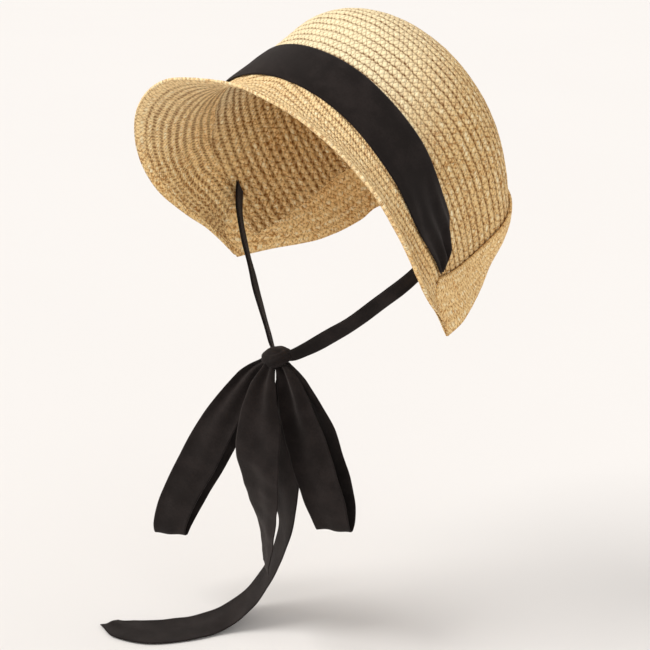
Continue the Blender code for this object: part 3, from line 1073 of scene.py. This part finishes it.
class BONNET_OT_hat_band(bpy.types.Operator):
    """Ribbon round the crown, smooth on top and gathered into folds above each ear"""
    bl_idname = "bonnet.hat_band"
    bl_label = "Hat band"

    def execute(self, context):
        columns = 200
        across = 28
        flat = sizes().ribbon_width
        shares = [(2 * index / columns - 1) * BAND[-1][0] for index in range(columns + 1)]
        middle = [crown_point(share * EAR_ANGLE, seam_back(share) + 0.02) for share in shares]
        length = reach_along(middle)[-1]

        def point(column, line):
            share = shares[column]
            way = line / across
            depth = band_depth(share)
            gather = max((abs(share) - 0.62) / 0.36, 0.0)
            squeeze = min(gather * gather, 1.0)
            swirl = way * 2.5 + 0.4 * sin(share * 9.0)
            fold = 0.0026 * squeeze * min(depth / 0.02, 1.0) * (1 + sin(2 * pi * swirl))
            soft = 0.0005 * (1 + ripple(Vector((share * 2.5, way * 0.9, 0.0)), 0.5, 4.0))
            tuck = min(way, 1 - way) * 6
            lift = 0.0007 + (fold + soft) * min(tuck, 1.0)
            back = seam_back(share) + depth * way
            return place(crown_point(share * EAR_ANGLE, back, lift))

        def mark(column, line):
            return length * column / columns, flat * line / across

        obj = cloth_piece("ribbon_band", columns, across, point, mark)
        ride(obj, "ribbon", "hat_band")
        return {"FINISHED"}


class BONNET_OT_chin_ties(bpy.types.Operator):
    """Two chin ties, each the ribbon folded lengthwise in three"""
    bl_idname = "bonnet.chin_ties"
    bl_label = "Chin ties"

    def execute(self, context):
        inside = -(STRAW + TIE_GAP + 0.0015)
        start = place(crown_point(TIE_START_ANGLE, TIE_START_BACK, inside))
        width_way = direction(-90, TIE_LIFT)
        flat = sizes().ribbon_width
        way = start - KNOT
        for side, name, node in ((1, "tie_ribbon_left", "chin_tie_left"),
                                 (-1, "tie_ribbon_right", "chin_tie_right")):
            rows = [(Vector((side * start.x, start.y, start.z)), width_way, flat / 3)]
            for across, back, up, width in TIE:
                centre = KNOT + Vector((side * way.x * across, way.y * back, way.z * up))
                rows.append((centre, width_way, flat / 3 * width))
            count = 60
            centres, sides, widths, length = stations(rows, count)
            faces = faces_of(centres, sides)
            across_steps = 36

            def point(column, line):
                share = column / across_steps
                turn = (share * 3) % 2
                spread = turn if turn <= 1 else 2 - turn
                rounded = spread * spread * (3 - 2 * spread)
                spread = spread * 0.6 + rounded * 0.4
                depth = 0.0011 * (1 - 2 * share)
                bow = 0.0012 * ripple(Vector((line / count * 3, spread * 0.6, side)), 0.5, 6.0)
                side_step = sides[line] * (spread - 0.5) * widths[line]
                return centres[line] + side_step + faces[line] * (depth + bow)

            def mark(column, line):
                return length * line / (count - 1), flat * column / across_steps

            obj = cloth_piece(name, across_steps, count - 1, point, mark)
            ride(obj, "ribbon", node)
        return {"FINISHED"}


class BONNET_OT_knot(bpy.types.Operator):
    """Knot of the bow: a turn of ribbon drawn tight, with folds that run round it"""
    bl_idname = "bonnet.knot"
    bl_label = "Knot"

    def execute(self, context):
        mesh = bmesh.new()
        bmesh.ops.create_uvsphere(mesh, u_segments=72, v_segments=48, radius=1.0, calc_uvs=False)
        places = mesh.loops.layers.uv.new("cloth")
        for face in mesh.faces:
            for loop in face.loops:
                loop[places].uv = (loop.vert.co.x * 0.011 + loop.vert.co.y * 0.009, loop.vert.co.z * 0.010)
        for vert in mesh.verts:
            unit = vert.co.copy()
            across = 0.88 * unit.z - 0.34 * unit.x - 0.34 * unit.y
            wrap = 1 / (1 + abs(across / 0.52) ** 14)
            crease = 0.80 + 0.20 * wrap + 0.035 * wrap * sin(13 * across) + 0.04 * ripple(unit, 0.7, 2.0)
            full = [abs(value) ** 0.8 * (1 if value > 0 else -1) for value in unit]
            spot = Vector([value * half for value, half in zip(full, KNOT_HALF)]) * crease
            spot.z *= 1 - 0.16 * unit.x ** 2
            vert.co = KNOT + spot * 1.04
        bmesh.ops.recalc_face_normals(mesh, faces=mesh.faces)
        obj = link("bow_knot", mesh, look_of("ribbon_cloth", ribbon_look))
        ride(obj, "ribbon", "knot")
        return {"FINISHED"}


class BONNET_OT_bow_loops(bpy.types.Operator):
    """Two hanging loops of the bow"""
    bl_idname = "bonnet.bow_loops"
    bl_label = "Bow loops"

    def execute(self, context):
        left = ribbon_piece("loop_ribbon_left", loop_rows(1, *LEFT_LOOP), 120, 1.6, 1.3, loop_hang)
        ride(left, "ribbon", "bow_loop_left")
        right = ribbon_piece("loop_ribbon_right", loop_rows(-1, *RIGHT_LOOP), 150, 1.6, 2.2, loop_hang)
        ride(right, "ribbon", "bow_loop_right")
        return {"FINISHED"}


class BONNET_OT_tails(bpy.types.Operator):
    """The two free ends of the ribbon, the long one bent over where it meets the ground"""
    bl_idname = "bonnet.tails"
    bl_label = "Tails"

    def execute(self, context):
        rows = tail_rows(SHORT_TAIL, *SHORT_TAIL_REACH)
        short = ribbon_piece("tail_ribbon_short", rows, 90, 1.5, 0.4, tail_hang)
        ride(short, "ribbon", "tail_short")
        rows = tail_rows(LONG_TAIL, *LONG_TAIL_REACH)
        long = ribbon_piece("tail_ribbon_long", rows, 150, 1.5, 3.1, tail_hang, LONG_TAIL_SLANT)
        ride(long, "ribbon", "tail_long")
        return {"FINISHED"}


class BONNET_OT_stage(bpy.types.Operator):
    """Pale floor, soft light and the camera"""
    bl_idname = "bonnet.stage"
    bl_label = "Stage"

    def execute(self, context):
        scene = context.scene
        mesh = bmesh.new()
        bmesh.ops.create_grid(mesh, x_segments=2, y_segments=2, size=6.0)
        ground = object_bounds()[0][2] - 0.0005
        bmesh.ops.translate(mesh, verts=mesh.verts, vec=(0, 0, ground))
        look, tree, shader = shaded("floor_paper", 0.9, 0.2)
        floor = list(colours().floor)
        duller = [channel * 0.985 for channel in floor]
        colour = mixed(tree, noise_node(tree, object_place(tree), 3.0), floor, duller)
        tree.links.new(colour, shader.inputs["Base Color"])
        link("floor", mesh, look)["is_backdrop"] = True

        world = bpy.data.worlds.new("studio")
        world.use_nodes = True
        tree = world.node_tree
        ambient = tree.nodes["Background"]
        ambient.inputs["Color"].default_value = (1.0, 0.975, 0.95, 1.0)
        ambient.inputs["Strength"].default_value = AMBIENT
        backdrop = tree.nodes.new("ShaderNodeBackground")
        backdrop.inputs["Color"].default_value = (1.0, 0.965, 0.94, 1.0)
        backdrop.inputs["Strength"].default_value = BACKDROP
        seen = tree.nodes.new("ShaderNodeLightPath")
        both = tree.nodes.new("ShaderNodeMixShader")
        tree.links.new(seen.outputs["Is Camera Ray"], both.inputs[0])
        tree.links.new(ambient.outputs[0], both.inputs[1])
        tree.links.new(backdrop.outputs[0], both.inputs[2])
        tree.links.new(both.outputs[0], tree.nodes["World Output"].inputs[0])
        scene.world = world
        scene.view_settings.view_transform = "Standard"

        lamps = (
            ("key", (-0.7, -1.3, 1.5), 0.6, 2.2, (1.0, 0.975, 0.94)),
            ("fill", (1.7, -1.2, 0.3), 1.0, 0.32, (1.0, 0.97, 0.94)),
        )
        for name, spot, spread, power, tint in lamps:
            lamp = bpy.data.lights.new(name, "SUN")
            lamp.energy = power
            lamp.color = tint
            lamp.angle = spread
            holder = bpy.data.objects.new(name, lamp)
            holder.location = CAMERA_TARGET + Vector(spot)
            holder.rotation_euler = (-Vector(spot)).to_track_quat("-Z", "Y").to_euler()
            scene.collection.objects.link(holder)

        lens = bpy.data.cameras.new("camera")
        lens.sensor_width = 36.0
        lens.lens = CAMERA_LENS
        lens.clip_start = 0.05
        camera = bpy.data.objects.new("camera", lens)
        scene.collection.objects.link(camera)
        away = Vector((
            sin(CAMERA_AZIMUTH) * cos(CAMERA_ELEVATION),
            -cos(CAMERA_AZIMUTH) * cos(CAMERA_ELEVATION),
            sin(CAMERA_ELEVATION),
        ))
        turn = (-away).to_track_quat("-Z", "Y").to_matrix().to_4x4() @ Matrix.Rotation(CAMERA_ROLL, 4, "Z")
        camera.matrix_world = Matrix.Translation(CAMERA_TARGET + away * CAMERA_DISTANCE) @ turn
        scene.camera = camera
        return {"FINISHED"}


class BONNET_PT_panel(bpy.types.Panel):
    """Buttons for the pieces, and their sizes and colours"""
    bl_label = "Bonnet"
    bl_idname = "BONNET_PT_panel"
    bl_space_type = "VIEW_3D"
    bl_region_type = "UI"
    bl_category = "Bonnet"

    def draw(self, context):
        for operator in OPERATORS:
            self.layout.operator(operator.bl_idname)
        for group in (context.scene.bonnet_sizes, context.scene.bonnet_colours):
            for name in group.bl_rna.properties.keys():
                if name not in ("name", "rna_type"):
                    self.layout.prop(group, name)


OPERATORS = (
    BONNET_OT_crown,
    BONNET_OT_brim,
    BONNET_OT_nape_strip,
    BONNET_OT_hat_band,
    BONNET_OT_chin_ties,
    BONNET_OT_knot,
    BONNET_OT_bow_loops,
    BONNET_OT_tails,
    BONNET_OT_stage,
)
CLASSES = (BonnetSizes, BonnetColours, *OPERATORS, BONNET_PT_panel)


def register():
    for item in CLASSES:
        bpy.utils.register_class(item)
    bpy.types.Scene.bonnet_sizes = PointerProperty(type=BonnetSizes)
    bpy.types.Scene.bonnet_colours = PointerProperty(type=BonnetColours)


def unregister():
    del bpy.types.Scene.bonnet_colours
    del bpy.types.Scene.bonnet_sizes
    for item in reversed(CLASSES):
        bpy.utils.unregister_class(item)


def main():
    register()
    bpy.ops.bonnet.crown()
    bpy.ops.bonnet.brim()
    bpy.ops.bonnet.nape_strip()
    bpy.ops.bonnet.hat_band()
    bpy.ops.bonnet.knot()
    bpy.ops.bonnet.chin_ties()
    bpy.ops.bonnet.bow_loops()
    bpy.ops.bonnet.tails()
    bpy.ops.bonnet.stage()


if __name__ == "__main__":
    main()
